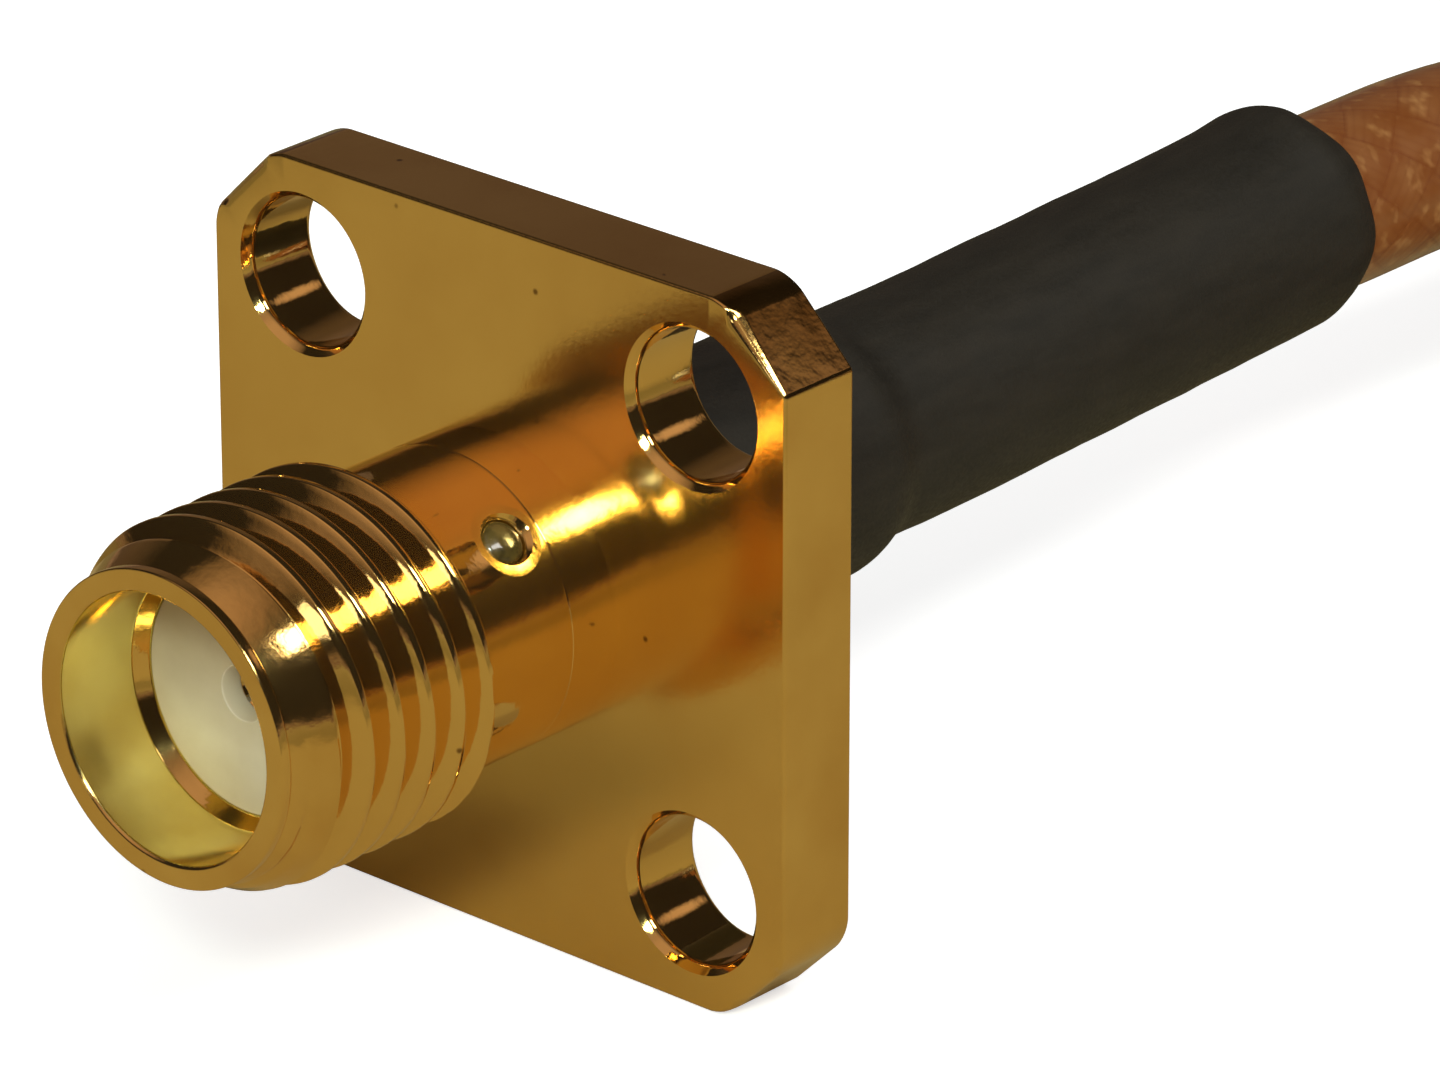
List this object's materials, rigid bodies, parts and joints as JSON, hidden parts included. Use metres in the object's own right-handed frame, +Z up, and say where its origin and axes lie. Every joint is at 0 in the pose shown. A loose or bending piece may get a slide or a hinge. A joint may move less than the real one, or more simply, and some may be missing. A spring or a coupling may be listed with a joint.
{
  "type": "subminiature coaxial connector",
  "caption": "Gold-plated threaded coaxial jack with a square screw flange, crimped to a thin brown coaxial cable under black heat-shrink; the cable is coiled and its free end stripped.",
  "frame": {"origin": "centre of the flange's front face, on the connector's axis", "axes": "-Y out of the mating mouth, +Y along the cable as it leaves the crimp, +Z up, one pair of flange sides upright"},
  "size_m": [0.0412, 0.0669, 0.0127],
  "materials": {
    "gold_plating": "polished",
    "white_insulator": "matte",
    "amber_epoxy": "gloss",
    "black_heat_shrink": "matte",
    "silvered_copper": "satin",
    "solder": "satin",
    "brown_jacket": "gloss",
    "black_tie": "matte"
  },
  "bodies": {
    "root": {"flange_body": "gold_plating", "front_insulator": "white_insulator", "centre_contact": "gold_plating", "epoxy_plug": "amber_epoxy", "crimp_stem": "gold_plating", "crimp_ferrule": "gold_plating", "heat_shrink_sleeve": "black_heat_shrink", "crimped_braid": "silvered_copper", "solder_fill": "solder", "cable_dielectric": "white_insulator", "cable_conductor": "silvered_copper", "cable_jacket": "brown_jacket", "cable_run": "brown_jacket", "cable_coil_high": "brown_jacket", "cable_coil_drop": "brown_jacket", "cable_coil_low": "brown_jacket", "coil_tie_1": "black_tie", "coil_tie_2": "black_tie", "tail_braid": "silvered_copper", "tail_dielectric": "white_insulator", "tail_strand_1": "silvered_copper", "tail_strand_2": "silvered_copper", "tail_strand_3": "silvered_copper", "tail_strand_4": "silvered_copper", "tail_strand_5": "silvered_copper", "tail_strand_6": "silvered_copper", "tail_strand_7": "silvered_copper"}
  },
  "joints": []
}
